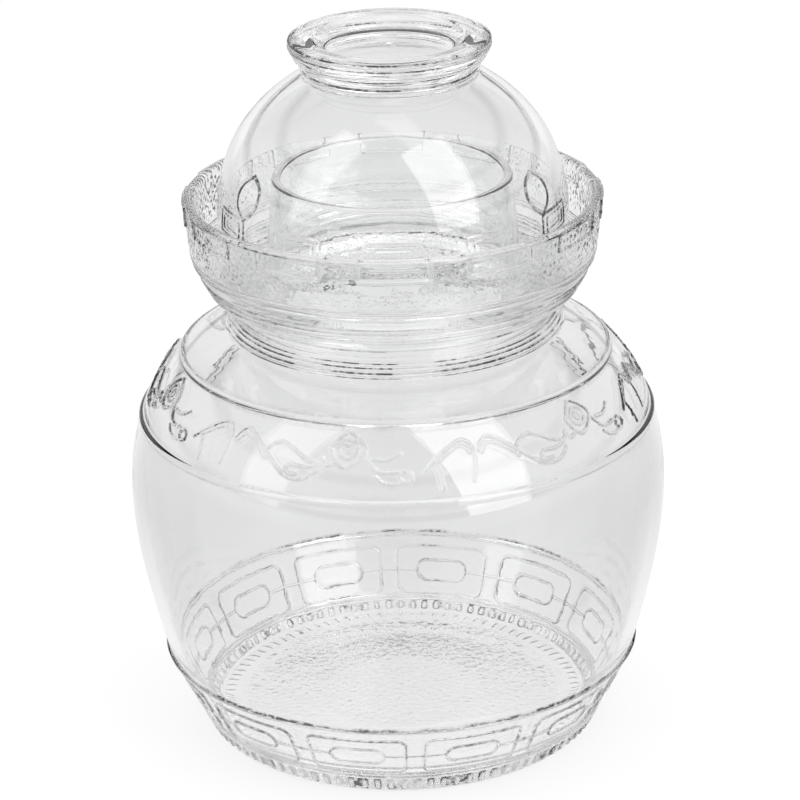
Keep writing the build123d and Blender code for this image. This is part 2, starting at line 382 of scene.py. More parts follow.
def strokes(wall, name, lines, pitch, reach, flank):
    """Ridges along curved lines, each (half_width, rise, points), repeated at a pitch
    that divides the columns evenly, within a reach of heights. flank is how dark the
    painted shade lines beside them are."""
    at_once, flank_share, flank_width = 40, 0.6, 0.6
    rows = wall.rows(name, *reach)
    near = turns < pitch - 1e-6
    z = wall.line[rows, 1]
    s = along(wall.line[rows])
    r = wall.line[rows, 0][:, None, None]
    total = np.zeros((len(rows), near.sum()))
    beside = np.zeros_like(total)
    for half_width, rise, points in lines:
        line = smooth_line(points)
        ls = np.interp(line[:, 1], z, s)
        best = np.full(total.shape, 1e9)
        for part in np.array_split(np.arange(len(line)), max(1, len(line) // at_once)):
            du = (turns[near][None, :, None] - line[part, 0] + pitch / 2) % pitch - pitch / 2
            du = np.radians(du) * r
            dv = s[:, None, None] - ls[part]
            best = np.minimum(best, np.hypot(du, dv).min(-1))
        total = np.maximum(total, rise * ridge(best, half_width))
        edge = best - half_width * flank_share
        beside = np.maximum(beside, flank * ridge(edge, flank_width))
    copies = (1, int(round(360 / pitch)))
    wall.relief[rows] += np.tile(total, copies)
    # Painted shade lines beside the ridges
    wall.paint_shade(rows, np.tile(beside, copies))


def waves(seed, count, longest, shortest, r, z):
    """Smooth noise that closes round the axis, about 1 high, for rows at (r, z)."""
    dice = np.random.default_rng(seed)
    total = np.zeros((len(z), len(turns)))
    mean = float(np.mean(r))
    s = along(np.stack([r, z], -1))
    for _ in range(count):
        length = longest * (shortest / longest) ** dice.random()
        lean = dice.random() * pi
        m = round(2 * pi * mean / length * cos(lean))
        k = 2 * pi / length * sin(lean)
        phase = dice.random() * 2 * pi
        total += np.cos(m * around[None, :] + (k * s + phase)[:, None])
    return total / (count / 2) ** 0.5


def ripples(seed, count, shortest, longer, x, y):
    """Smooth noise on a flat floor, about 1 high."""
    dice = np.random.default_rng(seed)
    total = np.zeros_like(x)
    for _ in range(count):
        length = shortest + longer * dice.random()
        lean = dice.random() * 2 * pi
        k = 2 * pi / length
        total += np.cos(k * (x * cos(lean) + y * sin(lean)) + dice.random() * 2 * pi)
    return total * (2 / count) ** 0.5


# Jar body

# Underside: a raised middle that comes down to the flat ring that the jar stands on
BASE_HOLLOW, HOLLOW_RADIUS, RESTING_START, FOOT_RADIUS = 2.5, 30.0, 62.0, 71.0
HOLLOW_BEND, RESTING_BEND, FOOT_BEND = 60.0, 12.0, 2.4
# The underside ends at this radius, where the outer wall starts
UNDERSIDE_END = 69.5
BAND_TOP = (87.0, 31.6)
BELLY = (98.0, 90.0)
LOWER_RIB = (93.6, 122.5)
UPPER_RIB = (77.87, 146.39)
SEAM_EDGE, SEAM_ROUND = (61.5, SEAM_HEIGHT), 0.6
SEAM_FACE = 60.5
NECK_HOLE = 49.0
JAR_WALL = 4.0
JAR_FLOOR, FLOOR_CORNER, FLOOR_BEND = 9.0, 71.56, 9.0
# How far the wall's normal leans up at the two ribs
LOWER_LEAN, UPPER_LEAN = 22, 52
# Slopes of the wall, as (radius, height), at the belly's lower and upper end
BELLY_START, BELLY_END = (0.25, 1), (-0.36, 1)
SHOULDER_BOW, COLLARBONE_BOW = 1.6, 0.8
# Rings round the jar, as ringed() takes them
JAR_RINGS = (
    (7.8, 0.55, 0.85),
    (9.4, 0.5, 0.7),
    (31.6, 0.7, 1.0),
    (122.5, 1.5, 0.75, 0.9),
    (146.4, 1.4, 0.6, 0.9),
)
# Heights where the outer wall's sections foot edge, band, side, vine and throat part
JAR_CUTS = (1.2, 31.0, 126.0, 144.0)
# How much of the painted shade shows in a section, from one height to another
JAR_PAINTED_SHADE = (
    ("edge", 0.0, 2.0, 0.5),
    ("band", 0.0, 11.0, 0.3),
    ("band", 29.0, 32.0, 0.7),
    ("side", 30.0, 34.0, 0.7),
    ("side", 34.0, 130.0, 0.1),
    ("vine", 120.0, 150.0, 0.1),
    ("throat", 140.0, 156.0, 0.4),
)

foot = rounded(
    [
        (POLE, BASE_HOLLOW),
        (HOLLOW_RADIUS, BASE_HOLLOW),
        (RESTING_START, 0),
        (FOOT_RADIUS, 0),
        BAND_TOP,
    ],
    [HOLLOW_BEND, RESTING_BEND, FOOT_BEND],
)
turn_point = np.argmax(foot[:, 0] > UNDERSIDE_END)
belly = spline([BAND_TOP, BELLY, LOWER_RIB], BELLY_START, BELLY_END)
shoulder = bow(LOWER_RIB, UPPER_RIB, SHOULDER_BOW)
collarbone = bow(UPPER_RIB, SEAM_EDGE, COLLARBONE_BOW)
outer = np.concatenate([foot[turn_point:], belly[1:], shoulder[1:], collarbone[1:-4]])
outer = ringed(even(outer), JAR_RINGS)
cuts = [np.argmax(outer[:, 1] > height) for height in JAR_CUTS]
foot_edge, band, side, vine, throat = np.split(outer, cuts)
seam_corner = rounded([throat[-1], SEAM_EDGE, (SEAM_FACE, SEAM_HEIGHT)], [SEAM_ROUND])
inner_neck = (NECK_HOLE, SEAM_HEIGHT - JAR_WALL / 2)
inner_upper = inwards(UPPER_RIB, UPPER_LEAN, JAR_WALL)
inner_lower = inwards(LOWER_RIB, LOWER_LEAN, JAR_WALL)
inner_belly = (BELLY[0] - JAR_WALL, BELLY[1])
inner_band_top = (BAND_TOP[0] - JAR_WALL, BAND_TOP[1])
inside = np.concatenate(
    [
        bow(inner_neck, inner_upper, -COLLARBONE_BOW),
        bow(inner_upper, inner_lower, -SHOULDER_BOW)[1:],
        spline(
            [inner_lower, inner_belly, inner_band_top], back(BELLY_END), back(BELLY_START)
        )[1:],
    ]
)
floor_line = rounded(
    [inner_band_top, (FLOOR_CORNER, JAR_FLOOR), (POLE, JAR_FLOOR)], [FLOOR_BEND]
)

body_wall = Wall(
    [
        ("under", foot[: turn_point + 1], 2.4, False),
        ("edge", reach_next(foot_edge, band), 1.3, False),
        ("band", reach_next(band, side), 1.3, False),
        ("side", reach_next(side, vine), 4.0, False),
        ("vine", reach_next(vine, throat), 1.3, False),
        ("throat", throat, 4.0, False),
        ("lip", seam_corner, 4.0, False),
        ("seam", np.array([(SEAM_FACE, SEAM_HEIGHT), (NECK_HOLE, SEAM_HEIGHT)]), 6.0, True),
        ("hole", np.array([(NECK_HOLE, SEAM_HEIGHT), inner_neck]), 4.0, False),
        ("inside", inside, 4.0, False),
        ("floor", floor_line, 1.2, False),
    ]
)
body_wall.fade(JAR_PAINTED_SHADE)

# Fret band: rounded frames, each round a loop, with a bar that ties the loops together
FRET_PITCH, FRET_TURN = 30.0, 18.0
FRET_RADIUS, FRET_HEIGHT = 79.5, 18.7
# The band leans out, so it is this much longer than it is high
BAND_LEAN = 1.12
# Width, height and corner radius
FRAME = (34.4, 18.4, 3.0)
LOOP = (19.2, 7.8, 3.7)
FRET_HALF_WIDTH, FRET_RISE, FRET_PAINTED_SHADE = 0.7, 0.75, 0.7
FRET_REACH = (9.5, 30.0)
# A painted shade line beside a line of the fret: where its middle is, and its half width
FRET_FLANK, FRET_FLANK_WIDTH = 0.3, 0.65
# Inside a loop the bar's line counts as this far off
FAR_OFF = 9.0

rows = body_wall.rows("band", *FRET_REACH)
u = round_wall(FRET_PITCH, FRET_RADIUS, FRET_TURN)
v = (body_wall.heights(rows) - FRET_HEIGHT) * BAND_LEAN
bar = np.where(abs(u) > LOOP[0] / 2, abs(v), FAR_OFF)
fret = ridge(bar, FRET_HALF_WIDTH)
for outline in (FRAME, LOOP):
    line = frame_line(u, v, *outline)
    fret = np.maximum(fret, ridge(line, FRET_HALF_WIDTH))
    # Painted shade line beside each outline, on its outer side
    body_wall.paint_shade(rows, FRET_PAINTED_SHADE * ridge(line - FRET_FLANK, FRET_FLANK_WIDTH))
body_wall.relief[rows] += FRET_RISE * fret

# Teeth round the foot
TOOTH_PITCH, TOOTH_RADIUS, TOOTH_MIDDLE = 3.75, 73.0, 4.3
TOOTH_HALF_LENGTH, TOOTH_END, TOOTH_HALF_WIDTH = 1.5, 0.6, 0.95
TOOTH_RISE, TOOTH_PAINTED_SHADE = 0.9, 1.3
TOOTH_REACH = (1.2, 7.2)
# The painted shade line round a tooth, in shares of the tooth's size
TOOTH_FLANK_SHARE, TOOTH_FLANK_WIDTH_SHARE = 1.15, 0.45

rows = body_wall.rows("band", *TOOTH_REACH)
end = (abs(body_wall.heights(rows) - TOOTH_MIDDLE) - TOOTH_HALF_LENGTH) / TOOTH_END
local = round_wall(TOOTH_PITCH, TOOTH_RADIUS)
tooth = np.clip(end, 0, 1) ** 2 + (local / TOOTH_HALF_WIDTH) ** 2
body_wall.relief[rows] += TOOTH_RISE * np.sqrt(np.clip(1 - tooth, 0, 1))
# Painted shade line round each tooth
flank = ridge(np.sqrt(tooth) - TOOTH_FLANK_SHARE, TOOTH_FLANK_WIDTH_SHARE)
body_wall.paint_shade(rows, TOOTH_PAINTED_SHADE * flank)

# Vine on the shoulder: strokes as (half_width, rise) and points as (angle, height)
STEM, LEAF_VEIN = (0.85, 0.85), (0.8, 0.65)
VINE_PITCH, VINE_PAINTED_SHADE = 60.0, 0.25
VINE_REACH = (126.0, 144.9)
VINE = [
    (*STEM, [
        (-15.6, 139.4), (-13.4, 142.6), (-11.6, 144.0), (-8.6, 141.4), (-7.4, 138.6),
        (-9.6, 135.6), (-12.4, 134.0), (-14.6, 136.2), (-15.6, 139.4),
    ]),
    (0.8, 0.7, [
        (-14.0, 139.6), (-12.0, 141.8), (-9.8, 141.0), (-9.4, 138.6), (-11.2, 136.6),
        (-13.4, 137.6), (-14.0, 139.6),
    ]),
    (0.9, 0.7, [(-12.6, 139.6), (-11.4, 140.4), (-10.6, 139.2), (-11.6, 138.2), (-12.6, 139.6)]),
    (*STEM, [(-7.0, 136.6), (-5.4, 133.8), (-3.2, 132.6), (-0.6, 132.9), (0.6, 132.2)]),
    (*LEAF_VEIN, [(-5.8, 136.6), (-3.2, 136.3), (-1.4, 137.0), (0.4, 138.4)]),
    (*LEAF_VEIN, [(-5.2, 131.6), (-3.6, 129.8), (-1.6, 129.1), (0.4, 129.4)]),
    (*STEM, [
        (0.2, 131.2), (1.2, 132.9), (2.8, 132.2), (2.9, 130.4), (1.4, 129.5), (0.2, 131.2),
    ]),
    (*STEM, [
        (6.0, 133.0), (9.0, 136.4), (12.0, 139.2), (14.6, 140.8), (16.6, 140.2), (17.8, 137.6),
    ]),
    (*LEAF_VEIN, [(8.4, 134.6), (11.2, 137.2), (14.0, 139.2), (15.8, 138.8), (17.0, 137.0)]),
    (*STEM, [
        (18.9, 137.4), (20.2, 140.0), (22.0, 140.9), (25.0, 138.9), (28.2, 135.7),
        (31.4, 132.2), (34.0, 129.9),
    ]),
    (*LEAF_VEIN, [(19.6, 136.6), (21.2, 139.0), (23.2, 138.8), (26.2, 136.4), (28.4, 133.6)]),
    (*LEAF_VEIN, [(8.6, 134.4), (9.4, 131.4), (9.8, 127.0)]),
    (0.7, 0.45, [(17.9, 136.4), (17.6, 132.4), (16.8, 128.4)]),
    (*STEM, [
        (28.4, 136.6), (30.2, 138.6), (32.4, 139.2), (35.2, 137.8), (38.6, 135.4),
        (41.6, 134.6), (42.6, 136.6),
    ]),
    (*STEM, [
        (41.2, 134.0), (38.4, 132.9), (35.4, 133.3), (34.1, 132.0), (34.8, 130.5), (37.0, 130.4),
    ]),
    (*LEAF_VEIN, [(31.2, 132.6), (33.4, 130.0), (36.6, 128.9), (39.4, 129.8), (41.4, 132.2)]),
    (*LEAF_VEIN, [(42.4, 136.4), (43.6, 134.2), (45.2, 134.8)]),
]
strokes(body_wall, "vine", VINE, VINE_PITCH, VINE_REACH, flank=VINE_PAINTED_SHADE)

# The floor inside is rippled, less and less towards its edge
RIPPLE_HEIGHT, RIPPLE_EDGE, RIPPLE_FADE = 0.034, 60, 6
FLOOR_EDGE = 66

rows = body_wall.rows("floor")
rows = rows[body_wall.line[rows, 0] < FLOOR_EDGE]
r = body_wall.line[rows, 0][:, None]
x, y = r * np.sin(around), r * np.cos(around)
ripple = ripples(seed=7, count=26, shortest=2.4, longer=2.6, x=x, y=y)
fade = np.clip((RIPPLE_EDGE - r) / RIPPLE_FADE, 0, 1)
body_wall.broad[rows] += RIPPLE_HEIGHT * ripple * fade

# Dashes are pressed into the ring that the jar stands on
RESTING_RADIUS, RESTING_HEIGHT = 66.2, 0.3
DASH_HALF_LENGTH, DASH_HALF_WIDTH, DASH_DEPTH = 1.6, 1.0, 0.25

rows = body_wall.rows("under")
r = body_wall.line[rows, 0][:, None]
dash = np.clip(abs(r - RESTING_RADIUS) - DASH_HALF_LENGTH, 0, None) ** 2
dash = np.sqrt(dash + round_wall(TOOTH_PITCH, r) ** 2)
resting = body_wall.heights(rows) < RESTING_HEIGHT
body_wall.relief[rows] -= DASH_DEPTH * ridge(dash, DASH_HALF_WIDTH) * resting


# Moat collar

COLLAR_FOOT, WAIST, HEEL = (SEAM_FACE, SEAM_HEIGHT), (55.5, 166.0), (65.0, 168.9)
KNEE, RIM = (73.4, 183.5), (75.3, 205.2)
MOAT_WALL = 3.8
# The hammered wall of the moat: its foot, its top and a radius that it lies beyond
HAMMERED_FOOT, HAMMERED_TOP, HAMMERED_RADIUS = 185.8, 204.3, 70
# The outside's line ends here, on the inner side of that wall
TROUGH_START = (70.55, 194.35)
# The neck tube: its inner and outer radius at the mouth and at the moat's floor
MOUTH_HEIGHT, MOUTH_INNER, MOUTH_OUTER = 212.4, 39.7, 43.0
NECK_INNER, NECK_OUTER = 43.5, 46.8
# The passage down from the neck to the seam goes past this point
THROAT = (47.5, 162.0)
COLLAR_RINGS = (
    (156.9, 0.8, 1.0),
    (158.5, 0.8, 1.1),
    (160.1, 0.7, 0.9),
    (161.9, 0.9, 0.4),
    (163.8, 0.9, 0.35),
    (165.4, 0.7, 0.6),
    (172.2, 0.7, 0.6),
    (175.0, 0.7, 0.6),
    (177.4, 0.7, 0.6),
    (182.4, 0.9, 0.6),
    (185.0, 0.8, 0.45),
)
# How much of the painted shade shows from one height to another, in front and at the sides
COLLAR_PAINTED_SHADE = (
    (150.0, 161.0, 0.65, 1.1),
    (161.0, 170.0, 0.3, 1.2),
    (170.0, 190.0, 0.4, 1.15),
)

outside = rounded(
    [COLLAR_FOOT, WAIST, HEEL, KNEE, RIM, (RIM[0] - MOAT_WALL, RIM[1]), TROUGH_START],
    [1.5, 5.0, 30.0, 1.8, 1.8],
)
outside = ringed(even(outside), COLLAR_RINGS, low=0.3)
wall_start = np.argmax((outside[:, 1] > HAMMERED_FOOT) & (outside[:, 0] > HAMMERED_RADIUS))
wall_end = np.argmax(outside[:, 1] > HAMMERED_TOP)
trough = rounded(
    [
        outside[-1],
        (KNEE[0] - MOAT_WALL, KNEE[1]),
        (HEEL[0] - MOAT_WALL / 2, MOAT_FLOOR),
        (NECK_OUTER, MOAT_FLOOR),
        (MOUTH_OUTER, MOUTH_HEIGHT),
        (MOUTH_INNER, MOUTH_HEIGHT),
        (NECK_INNER, MOAT_FLOOR),
        THROAT,
        (NECK_HOLE, SEAM_HEIGHT),
    ],
    [7.5, 3.2, 9.0, 1.5, 1.5, 60.0, 12.0],
)
collar_wall = Wall(
    [
        ("rings", outside[: wall_start + 1], 3.0, False),
        ("moat", outside[wall_start : wall_end + 1], 1.3, False),
        ("rim", outside[wall_end:], 3.0, False),
        ("trough", trough, 4.0, False),
        ("seam", np.array([(NECK_HOLE, SEAM_HEIGHT), COLLAR_FOOT]), 6.0, True),
    ]
)
collar_wall.fade(
    ("rings", low, high, front + (beside - front) * aside**2)
    for low, high, front, beside in COLLAR_PAINTED_SHADE
)

# Frames under the moat's rim, with their width, height and corner radius
MOAT_FRAME = (25.2, 6.6, 0.7)
MOAT_FRAME_PITCH, MOAT_FRAME_RADIUS, MOAT_FRAME_HEIGHT = 30.0, 75.0, 200.6
MOAT_FRAME_REACH = (195.5, 204.3)
MOAT_FRAME_HALF_WIDTH = MOAT_FRAME_RISE = 0.75

rows = collar_wall.rows("moat", *MOAT_FRAME_REACH)
u = round_wall(MOAT_FRAME_PITCH, MOAT_FRAME_RADIUS)
v = collar_wall.heights(rows) - MOAT_FRAME_HEIGHT
line = frame_line(u, v, *MOAT_FRAME)
collar_wall.relief[rows] += MOAT_FRAME_RISE * ridge(line, MOAT_FRAME_HALF_WIDTH)

# The moat's wall is hammered at the sides, with painted shade in its dents there, and its rim's
# edge has a painted dark line there
HAMMER_HEIGHT, DENT_PAINTED_SHADE, DENT_START = 0.07, 1.5, 0.3
# Where the hammering starts at its foot and its top, and how much further in it is full
HAMMER_LOW, HAMMER_LOW_FADE = 186, 3
HAMMER_HIGH, HAMMER_HIGH_FADE = 204.2, 1.5
RIM_PAINTED_SHADE, RIM_PAINTED_SHADE_HEIGHT, RIM_PAINTED_SHADE_HALF_WIDTH = 1.6, 203.7, 0.55

rows = collar_wall.rows("moat")
r, z = collar_wall.line[rows].T
hammer = waves(seed=3, count=60, longest=4.0, shortest=1.6, r=r, z=z)
fade = np.clip((z - HAMMER_LOW) / HAMMER_LOW_FADE, 0, 1)
fade = fade * np.clip((HAMMER_HIGH - z) / HAMMER_HIGH_FADE, 0, 1)
fade = fade[:, None] * aside**2
edge = ridge(z - RIM_PAINTED_SHADE_HEIGHT, RIM_PAINTED_SHADE_HALF_WIDTH)[:, None]
collar_wall.relief[rows] += HAMMER_HEIGHT * hammer * fade
# Painted shade in the dents and along the rim's edge, at the sides
collar_wall.paint_shade(rows, DENT_PAINTED_SHADE * np.clip(hammer - DENT_START, 0, 1) * fade * aside)
collar_wall.paint_shade(rows, RIM_PAINTED_SHADE * edge * aside)


# Lid

SKIRT_TOP, DOME_MID, KNOB_FOOT = (63.2, 197.0), (55.9, 226.5), (31.2, 249.6)
SKIRT_FOOT, SKIRT_ROUND = (58.2, 61.8), 1.75
LID_WALL = 3.6
KNOB_TOP, DISH = 263.36, 259.4
# The slope of the dome at the knob, going out, and how far its normal leans up there
# and half way down
DOME_END = (1, -0.54)
KNOB_LEAN, DOME_LEAN = 66, 32
# The ceiling under the knob: its rise above the dome's inner edge, in the middle and
# part of the way out
CEILING_RISE, CEILING_MID = 3.2, (16.0, 2.75)
# The petals start and end at these heights. At their start the outer side lies beyond
# this radius, and the inner side doesn't reach it.
PETALS_START, PETALS_END, SKIRT_OUTSIDE = 195, 224.5, 61
KNOB_RINGS = (
    (249.9, 0.8, 0.9),
    (251.9, 0.9, 0.9),
    (254.2, 0.9, 0.6),
    (256.4, 0.9, 0.5),
    (260.2, 0.9, 0.35),
    (261.9, 0.6, 0.3),
)
# Painted shade lines round the knob: height and depth, that is how dark they are, then
# their half width and the radius that they lie beyond
KNOB_SHADE_LINES = ((251.9, 2.0), (255.4, 2.0), (258.4, 1.5), (260.1, 1.5), (262.3, 1.0))
KNOB_SHADE_LINE_HALF_WIDTH, KNOB_OUTSIDE = 0.45, 28
# How much shows of the painted shade that comes from the bends of the knob
KNOB_BEND_SHADE_SHARE = 0.25

inner_foot = inwards(KNOB_FOOT, KNOB_LEAN, LID_WALL)
inner_mid = inwards(DOME_MID, DOME_LEAN, LID_WALL)
inner_skirt = (SKIRT_TOP[0] - LID_WALL, SKIRT_TOP[1])
lid_floor = MOAT_FLOOR + LID_GAP
ceiling_top = (POLE, inner_foot[1] + CEILING_RISE)
ceiling_mid = (CEILING_MID[0], inner_foot[1] + CEILING_MID[1])
ceiling = spline([ceiling_top, ceiling_mid, inner_foot], (1, 0), DOME_END)
hollow = spline([inner_foot, inner_mid, inner_skirt], DOME_END, (0, -1))
skirt = rounded(
    [hollow[-1], (SKIRT_FOOT[0], lid_floor), (SKIRT_FOOT[1], lid_floor), SKIRT_TOP],
    [SKIRT_ROUND, SKIRT_ROUND],
)
dome = spline([SKIRT_TOP, DOME_MID, KNOB_FOOT], (0, 1), back(DOME_END))
knob = rounded(
    [
        KNOB_FOOT,
        (30.6, 252.0),
        (36.0, 258.9),
        (36.0, 262.4),
        (33.4, KNOB_TOP),
        (27.0, 262.6),
        (23.0, DISH),
        (POLE, DISH),
    ],
    [0.8, 1.7, 1.5, 5.0, 2.6, 2.6],
)
shell = even(np.concatenate([skirt[:-1], dome]))
shell_mid = np.argmax((shell[:, 1] > PETALS_START) & (shell[:, 0] > SKIRT_OUTSIDE))
shell_end = np.argmax((shell[:, 1] > PETALS_END) & (np.arange(len(shell)) > shell_mid))
top = ringed(even(np.concatenate([shell[shell_end:], knob[1:]])), KNOB_RINGS, low=0.2)
# A small ring in the middle of the dish
NUB_RADIUS, NUB_HALF_WIDTH, NUB_RISE = 1.9, 0.9, 0.45
top[:, 1] += NUB_RISE * ridge(top[:, 0] - NUB_RADIUS, NUB_HALF_WIDTH)
lid_wall = Wall(
    [
        ("hollow", np.concatenate([ceiling, hollow[1:]]), 3.5, False),
        ("skirt", shell[: shell_mid + 1], 4.0, False),
        ("petals", shell[shell_mid : shell_end + 1], 1.3, False),
        ("top", top, 0.9, False),
    ]
)

# Square keys round the skirt, clearest under the two leaves
KEY_COUNT, KEY_RADIUS, KEY_HEIGHT = 11, 62.8, 202.0
# Width, height and corner radius
KEY, INNER_KEY = (18.6, 8.6, 1.0), (13.0, 5.2, 0.8)
KEY_HALF_WIDTH, INNER_KEY_HALF_WIDTH, INNER_KEY_SHARE = 0.8, 0.7, 0.8
KEY_RISE, KEY_PAINTED_SHADE = 0.3, 1.5
KEY_REACH = (196.0, 207.5)
KEY_FLANK, KEY_FLANK_WIDTH = 0.3, 0.7
# The clearest keys' angle, how far round they are clear, and the least share of the
# rise elsewhere
CLEAR_KEY, CLEAR_SPREAD, FAINT_SHARE = 65.5, 16, 0.3

rows = lid_wall.rows("petals", *KEY_REACH)
u = round_wall(360 / KEY_COUNT, KEY_RADIUS)
v = lid_wall.heights(rows) - KEY_HEIGHT
line = frame_line(u, v, *KEY)
key = INNER_KEY_SHARE * ridge(frame_line(u, v, *INNER_KEY), INNER_KEY_HALF_WIDTH)
key = np.maximum(ridge(line, KEY_HALF_WIDTH), key)
clear = np.exp(-(((abs(repeat(360.0)) - CLEAR_KEY) / CLEAR_SPREAD) ** 2))
lid_wall.relief[rows] += KEY_RISE * (key * (FAINT_SHARE + (1 - FAINT_SHARE) * clear))
# Painted shade line beside the outer side of the clearest keys
lid_wall.paint_shade(rows, KEY_PAINTED_SHADE * ridge(line - KEY_FLANK, KEY_FLANK_WIDTH) * clear)

# One leaf on each side of the dome: outer and inner edge, with painted shade lines beside them
LEAF_HALF_WIDTH, LEAF_RISE, LEAF_PAINTED_SHADE = 0.75, 0.4, 0.9
LEAF_REACH = (196.0, 224.2)
LEAF = (
    [(57.6, 206.6), (61.6, 210.2), (62.4, 214.6), (60.2, 219.0), (55.6, 222.4)],
    [(55.6, 222.4), (51.6, 219.6), (50.6, 215.2), (52.8, 210.4), (57.6, 206.6)],
)
leaves = [
    (LEAF_HALF_WIDTH, LEAF_RISE, [(hand * angle, height) for angle, height in points])
    for hand in (1, -1)
    for points in LEAF
]
strokes(lid_wall, "petals", leaves, 360.0, LEAF_REACH, flank=LEAF_PAINTED_SHADE)

# Painted shade lines round the knob, in place of most of the shade from its bends
rows = lid_wall.rows("top")
r, z = lid_wall.line[rows].T
lid_wall.painted_shade[rows] *= KNOB_BEND_SHADE_SHARE
for height, depth in KNOB_SHADE_LINES:
    line = depth * ridge(z - height, KNOB_SHADE_LINE_HALF_WIDTH) * (r > KNOB_OUTSIDE)
    lid_wall.paint_shade(rows, line[:, None])


# Materials

# Scales of the noises in the glass: its cast, the short and long breaks in its painted
# shade lines, and its slow waver
CAST, SHORT, LONG, WAVER = 28.0, 650.0, 75.0, 95.0
# How a noise becomes a break: from this low and high, to this least and greatest
SHORT_BREAKS = (0.4, 0.56, 0.5, 1.3)
LONG_BREAKS = (0.4, 0.58, 0.25, 1.25)
# The grey of the painted shade lines
LINE_SHADE = 0.012
WAVER_DEPTH, BUMP_DISTANCE = 0.08, 0.0004
SKIN_EDGE = 0.0015
# Where the cast is strong the glass is very slightly rough
ROUGHNESS = (0.55, 0.8, 0.0, 0.03)
GLASS_INDEX, SHADOW_SHADE = 1.5, 0.93


def grey(level, cool=0.0):
    """A grey, a little cool if asked."""
    return (level, level + cool, level + cool, 1)


class Graph:
    """The node tree of a material or world, with short ways to add the nodes used here.
    add() gives back the new node, and those named after what they work out give back
    its output."""

    def __init__(self, owner):
        owner.use_nodes = True
        self.nodes, self.links = owner.node_tree.nodes, owner.node_tree.links
        self.nodes.clear()

    def add(self, kind, values):
        """A node with its inputs set to numbers, colours or other nodes' outputs."""
        node = self.nodes.new("ShaderNode" + kind)
        self.set(node, values)
        return node

    def set(self, node, values):
        for slot, value in values.items():
            if isinstance(value, bpy.types.NodeSocket):
                self.links.new(value, node.inputs[slot])
            else:
                node.inputs[slot].default_value = value

    def math(self, operation, *values):
        node = self.nodes.new("ShaderNodeMath")
        node.operation = operation
        self.set(node, dict(enumerate(values)))
        return node.outputs[0]

    def ramp(self, value, low, high, at_low=0.0, at_high=1.0):
        values = dict(enumerate((value, low, high, at_low, at_high)))
        return self.add("MapRange", values).outputs[0]

    def distance(self, x, y):
        squares = self.math("ADD", self.math("MULTIPLY", x, x), self.math("MULTIPLY", y, y))
        return self.math("SQRT", squares)

    def noise(self, place, scale, detail):
        values = {"Vector": place, "Scale": scale, "Detail": detail}
        return self.add("TexNoise", values).outputs["Fac"]

    def blend(self, factor, first, second):
        node = self.nodes.new("ShaderNodeMix")
        node.data_type = "RGBA"
        self.set(node, {"Factor": factor, "A": first, "B": second})
        return node.outputs["Result"]

    def mix(self, factor, first, second):
        return self.add("MixShader", {0: factor, 1: first, 2: second}).outputs[0]

    def rays(self, *names):
        """1 for rays of these kinds."""
        path = self.nodes.new("ShaderNodeLightPath")
        total = path.outputs[f"Is {names[0]} Ray"]
        for name in names[1:]:
            total = self.math("MAXIMUM", total, path.outputs[f"Is {name} Ray"])
        return total

    def finish(self, kind, surface):
        self.add("Output" + kind, {"Surface": surface})


def clear_glass(name, low, high, painted_light_tones=(), skin=None):
    """Pressed clear glass between two shades. Its tones by height are painted light and
    shade: each is a shade with the height in metres where it starts and where it is full.
    A mesh attribute paints shade on it in short broken lines, for the dark edges of its
    relief. skin gives the place of its orange peel, if it has one: lowest and highest
    metre, least and greatest radius, grain and depth."""
    material = bpy.data.materials.new(name)
    graph = Graph(material)
    place = graph.add("TexCoord", {}).outputs["Object"]
    x, y, z = graph.add("SeparateXYZ", {"Vector": place}).outputs

    cast = graph.noise(place, CAST, 3.0)
    color = graph.blend(cast, grey(low, 0.003), grey(high, 0.002))
    # Painted light and shade: other shades by height
    for shade, start, full in painted_light_tones:
        color = graph.blend(graph.ramp(z, start, full), color, grey(shade, 0.002))
    # Painted shade: dark broken lines where the mesh's attribute asks for them
    painted_shade = graph.nodes.new("ShaderNodeAttribute")
    painted_shade.attribute_name = "painted_shade"
    short = graph.ramp(graph.noise(place, SHORT, 1.0), *SHORT_BREAKS)
    long = graph.ramp(graph.noise(place, LONG, 1.0), *LONG_BREAKS)
    dark = graph.math("MULTIPLY", painted_shade.outputs["Fac"], graph.math("MULTIPLY", short, long))
    color = graph.blend(dark, color, grey(LINE_SHADE))

    height = graph.math("MULTIPLY", graph.noise(place, WAVER, 2.0), WAVER_DEPTH)
    if skin:
        bottom, top, inner, outer, grain, depth = skin
        reach = graph.distance(x, y)
        held = graph.ramp(z, bottom, bottom + SKIN_EDGE)
        for value, start, at_low in ((z, top, 1.0), (reach, inner, 0.0), (reach, outer, 1.0)):
            part = graph.ramp(value, start, start + SKIN_EDGE, at_low, 1.0 - at_low)
            held = graph.math("MULTIPLY", held, part)
        peel = graph.math("MULTIPLY", graph.noise(place, grain, 1.5), depth)
        height = graph.math("ADD", height, graph.math("MULTIPLY", held, peel))
    bump = graph.add("Bump", {"Distance": BUMP_DISTANCE, "Height": height})
    glass = graph.add(
        "BsdfPrincipled",
        {
            "Base Color": color,
            "Roughness": graph.ramp(cast, *ROUGHNESS),
            "IOR": GLASS_INDEX,
            "Transmission Weight": 1.0,
            "Normal": bump.outputs["Normal"],
        },
    )
    shadow = graph.add("BsdfTransparent", {"Color": grey(SHADOW_SHADE)})
    graph.finish(
        "Material", graph.mix(graph.rays("Shadow"), glass.outputs[0], shadow.outputs[0])
    )
    return material


def fused_seam():
    """Glass joined hot to glass: nothing shows where the two pieces meet."""
    material = bpy.data.materials.new("fused_seam")
    graph = Graph(material)
    graph.finish("Material", graph.add("BsdfTransparent", {}).outputs[0])
    return material


